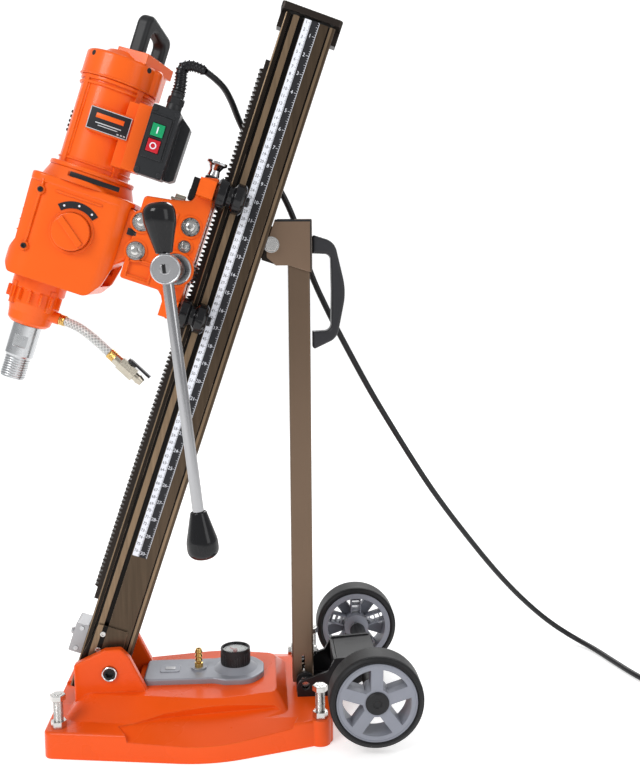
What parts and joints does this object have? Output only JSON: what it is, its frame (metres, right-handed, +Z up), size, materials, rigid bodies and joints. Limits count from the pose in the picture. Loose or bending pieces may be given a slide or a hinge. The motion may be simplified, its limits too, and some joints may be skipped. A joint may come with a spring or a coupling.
{
  "type": "core drill rig",
  "caption": "Electric core drill on a tilting rack-feed mast with a vacuum base, strut, transport wheels and a feed lever.",
  "frame": {"origin": "on the floor under the middle of the base, at the foot of its central post", "axes": "+Z up, +X from the mast's foot towards the wheels, +Y to the side away from the feed lever"},
  "size_m": [1.0726, 0.417, 0.9893],
  "materials": {
    "base_orange": "gloss paint",
    "drill_orange": "gloss paint",
    "plate_grey": "satin paint",
    "black_metal": "satin black paint",
    "bronze": "bronze anodised",
    "dark_bronze": "dark anodised",
    "strut_bronze": "bronze anodised",
    "zinc": "zinc plated",
    "steel": "machined",
    "chrome": "polished",
    "brass": "turned",
    "nickel": "nickel plated",
    "rubber": "moulded",
    "tyre": "moulded",
    "rim_grey": "moulded",
    "black_plastic": "moulded",
    "handle_grey": "moulded",
    "green_button": "moulded",
    "red_button": "moulded",
    "scale_print": "printed tape",
    "stop_grey": "satin",
    "motor_iron": "laminated iron and copper",
    "needle_red": "printed",
    "cord_black": "jacket",
    "hose_clear": "braided clear hose"
  },
  "bodies": {
    "base": {"base_casting": "base_orange", "base_seal": "rubber", "vacuum_plate": "plate_grey", "hose_barb": "brass", "gauge_body": "black_plastic", "mast_pivot_bolt": "black_metal", "leveller_nuts": "zinc", "wheel_bracket": "black_metal", "wheel_axle": "steel", "strut_pin": "zinc", "power_cord_lower": "cord_black", "cord_coil": "cord_black", "cord_plug": "rubber"},
    "gauge_needle": {"gauge_needle": "needle_red"},
    "leveller_1": {"levelling_screw_1": "zinc"},
    "leveller_2": {"levelling_screw_2": "zinc"},
    "leveller_3": {"levelling_screw_3": "zinc"},
    "leveller_4": {"levelling_screw_4": "zinc"},
    "wheel_near": {"wheel_rim_near": "rim_grey", "tyre_near": "tyre"},
    "wheel_far": {"wheel_rim_far": "rim_grey", "tyre_far": "tyre"},
    "mast": {"mast_profile": "bronze", "feed_rack": "dark_bronze", "depth_scale": "scale_print", "mast_cap": "dark_bronze", "depth_stop": "stop_grey", "power_cord_upper": "cord_black"},
    "slider": {"strut_slider": "dark_bronze", "strut_bolt": "zinc"},
    "strut": {"strut_tube": "strut_bronze", "strut_head": "strut_bronze", "strut_handle": "handle_grey"},
    "carriage": {"carriage_casting": "drill_orange", "carriage_bolts": "zinc", "motor_mount": "drill_orange", "gearbox_housing": "drill_orange", "spindle_nose": "drill_orange", "motor_housing": "drill_orange", "motor_cap": "drill_orange", "carry_handle": "black_plastic", "motor_stator": "motor_iron", "bearings": "steel", "switch_box": "black_plastic", "cable_gland": "black_plastic", "water_hose": "hose_clear", "water_valve": "nickel"},
    "roller_1": {"guide_roller_1": "black_plastic"},
    "roller_2": {"guide_roller_2": "black_plastic"},
    "roller_3": {"guide_roller_3": "black_plastic"},
    "roller_4": {"guide_roller_4": "black_plastic"},
    "feed_shaft": {"feed_shaft": "chrome"},
    "feed_bar": {"feed_bar": "chrome"},
    "lock_knob": {"lock_knob": "chrome"},
    "start_button": {"start_button": "green_button"},
    "stop_button": {"stop_button": "red_button"},
    "gear_selector": {"gear_selector": "drill_orange"},
    "valve_lever": {"valve_lever": "black_metal"},
    "spindle": {"spindle": "steel"},
    "armature": {"armature": "motor_iron"}
  },
  "joints": [
    {"name": "gauge_needle_turn", "type": "hinge", "parent": "base", "child": "gauge_needle", "pos_m": [0.058, 0, 0.09], "axis": [0, 0, 1], "range_deg": [-270, 0], "stiffness_Nm_per_rad": 0.0005},
    {"name": "leveller_1_screw", "type": "slide", "parent": "base", "child": "leveller_1", "axis": [0, 0, 1], "range_m": [-0.012, 0.02]},
    {"name": "leveller_2_screw", "type": "slide", "parent": "base", "child": "leveller_2", "axis": [0, 0, 1], "range_m": [-0.012, 0.02]},
    {"name": "leveller_3_screw", "type": "slide", "parent": "base", "child": "leveller_3", "axis": [0, 0, 1], "range_m": [-0.012, 0.02]},
    {"name": "leveller_4_screw", "type": "slide", "parent": "base", "child": "leveller_4", "axis": [0, 0, 1], "range_m": [-0.012, 0.02]},
    {"name": "wheel_near_roll", "type": "hinge", "parent": "base", "child": "wheel_near", "pos_m": [0.2463, -0.1345, 0.075], "axis": [0, 1, 0], "continuous": true},
    {"name": "wheel_far_roll", "type": "hinge", "parent": "base", "child": "wheel_far", "pos_m": [0.2463, 0.1345, 0.075], "axis": [0, 1, 0], "continuous": true},
    {"name": "mast_tilt", "type": "hinge", "parent": "base", "child": "mast", "pos_m": [-0.1145, 0, 0.084], "axis": [0, 1, 0], "range_deg": [-18.95, 0], "deforming": ["power_cord_upper", "power_cord_lower"]},
    {"name": "slider_travel", "type": "slide", "parent": "mast", "child": "slider", "axis": [0.3247, 0, 0.9458], "range_m": [-0.0936, 0]},
    {"name": "strut_swing", "type": "hinge", "parent": "slider", "child": "strut", "pos_m": [0.11753, 0, 0.67202], "axis": [0, 1, 0], "range_deg": [-0.75, 0]},
    {"name": "carriage_feed", "type": "slide", "parent": "mast", "child": "carriage", "axis": [0.3247, 0, 0.9458], "range_m": [-0.4, 0.2], "deforming": ["power_cord_upper"]},
    {"name": "feed_shaft_turn", "type": "hinge", "parent": "carriage", "child": "feed_shaft", "pos_m": [-0.00951, -0.06, 0.63951], "axis": [0, 1, 0], "range_deg": [-960, 480]},
    {"name": "feed_bar_slide", "type": "slide", "parent": "feed_shaft", "child": "feed_bar", "axis": [-0.1045, 0, 0.9945], "range_m": [0, 0.265]},
    {"name": "roller_1_turn", "type": "hinge", "parent": "carriage", "child": "roller_1", "pos_m": [0.06464, -0.0515, 0.73353], "axis": [0.9458, 0, -0.3247], "range_deg": [-540, 1070]},
    {"name": "roller_2_turn", "type": "hinge", "parent": "carriage", "child": "roller_2", "pos_m": [0.06464, 0.0515, 0.73353], "axis": [0.9458, 0, -0.3247], "range_deg": [-1070, 540]},
    {"name": "roller_3_turn", "type": "hinge", "parent": "carriage", "child": "roller_3", "pos_m": [0.01106, -0.0515, 0.57747], "axis": [0.9458, 0, -0.3247], "range_deg": [-540, 1070]},
    {"name": "roller_4_turn", "type": "hinge", "parent": "carriage", "child": "roller_4", "pos_m": [0.01106, 0.0515, 0.57747], "axis": [0.9458, 0, -0.3247], "range_deg": [-1070, 540]},
    {"name": "lock_knob_pull", "type": "slide", "parent": "carriage", "child": "lock_knob", "axis": [0.3247, 0, 0.9458], "range_m": [0, 0.008], "stiffness_N_per_m": 1500, "springref_m": -0.004},
    {"name": "start_button_press", "type": "slide", "parent": "carriage", "child": "start_button", "axis": [0, 1, 0], "range_m": [0, 0.003], "stiffness_N_per_m": 700, "springref_m": -0.001},
    {"name": "stop_button_press", "type": "slide", "parent": "carriage", "child": "stop_button", "axis": [0, 1, 0], "range_m": [0, 0.003], "stiffness_N_per_m": 700, "springref_m": -0.001},
    {"name": "gear_selector_turn", "type": "hinge", "parent": "carriage", "child": "gear_selector", "pos_m": [-0.14258, -0.06, 0.6889], "axis": [0, 1, 0], "range_deg": [-38, 38]},
    {"name": "valve_lever_turn", "type": "hinge", "parent": "carriage", "child": "valve_lever", "pos_m": [-0.07125, -0.034, 0.51476], "axis": [0.6975, 0, 0.7166], "range_deg": [0, 90]},
    {"name": "spindle_turn", "type": "hinge", "parent": "carriage", "child": "spindle", "pos_m": [-0.19208, 0, 0.63929], "axis": [0.3247, 0, 0.9458], "continuous": true},
    {"name": "armature_turn", "type": "hinge", "parent": "carriage", "child": "armature", "pos_m": [-0.10443, 0, 0.82066], "axis": [0.3247, 0, 0.9458], "continuous": true}
  ],
  "couplings": [
    {"joint": "slider_travel", "follows": "mast_tilt", "m_per_rad": 0.28124},
    {"joint": "strut_swing", "follows": "mast_tilt", "ratio": 0.0367},
    {"joint": "feed_shaft_turn", "follows": "carriage_feed", "rad_per_m": 41.667},
    {"joint": "roller_1_turn", "follows": "carriage_feed", "rad_per_m": -46.512},
    {"joint": "roller_2_turn", "follows": "carriage_feed", "rad_per_m": 46.512},
    {"joint": "roller_3_turn", "follows": "carriage_feed", "rad_per_m": -46.512},
    {"joint": "roller_4_turn", "follows": "carriage_feed", "rad_per_m": 46.512},
    {"joint": "armature_turn", "follows": "spindle_turn", "ratio": -3}
  ]
}
